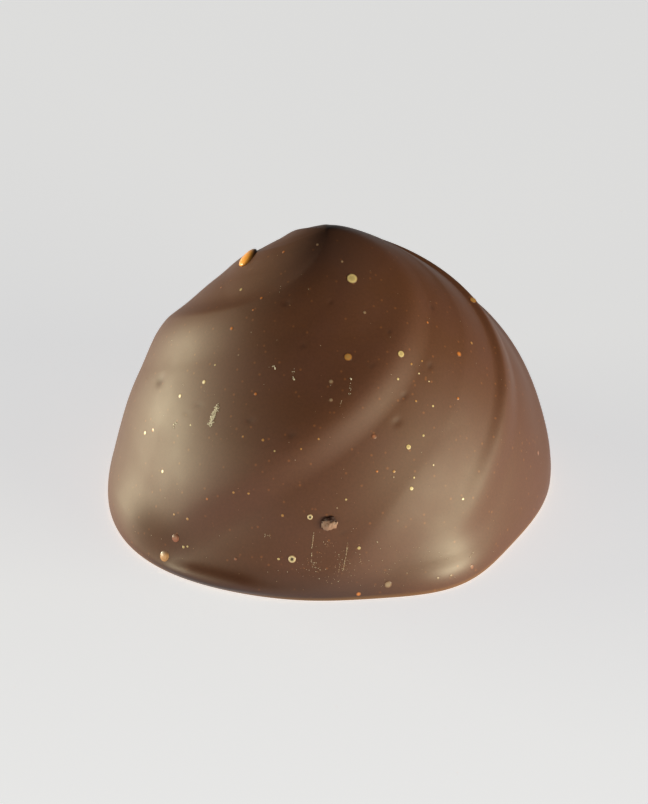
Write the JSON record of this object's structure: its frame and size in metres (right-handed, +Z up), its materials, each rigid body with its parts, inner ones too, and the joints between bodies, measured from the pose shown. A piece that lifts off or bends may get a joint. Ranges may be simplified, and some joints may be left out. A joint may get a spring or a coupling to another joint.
{
  "type": "chocolate praline",
  "caption": "Milk chocolate praline: a small solid mound with soft ridges wound up to a rounded tip and a low uneven foot round its flat base.",
  "frame": {"origin": "on the flat foot, under the middle of the praline's outline", "axes": "+Z up through the tip, +X to the right and -Y to the front as the praline is seen in the picture"},
  "size_m": [0.0298, 0.0296, 0.0193],
  "materials": {
    "milk_chocolate": "satin"
  },
  "bodies": {
    "root": {"praline": "milk_chocolate"}
  },
  "joints": []
}
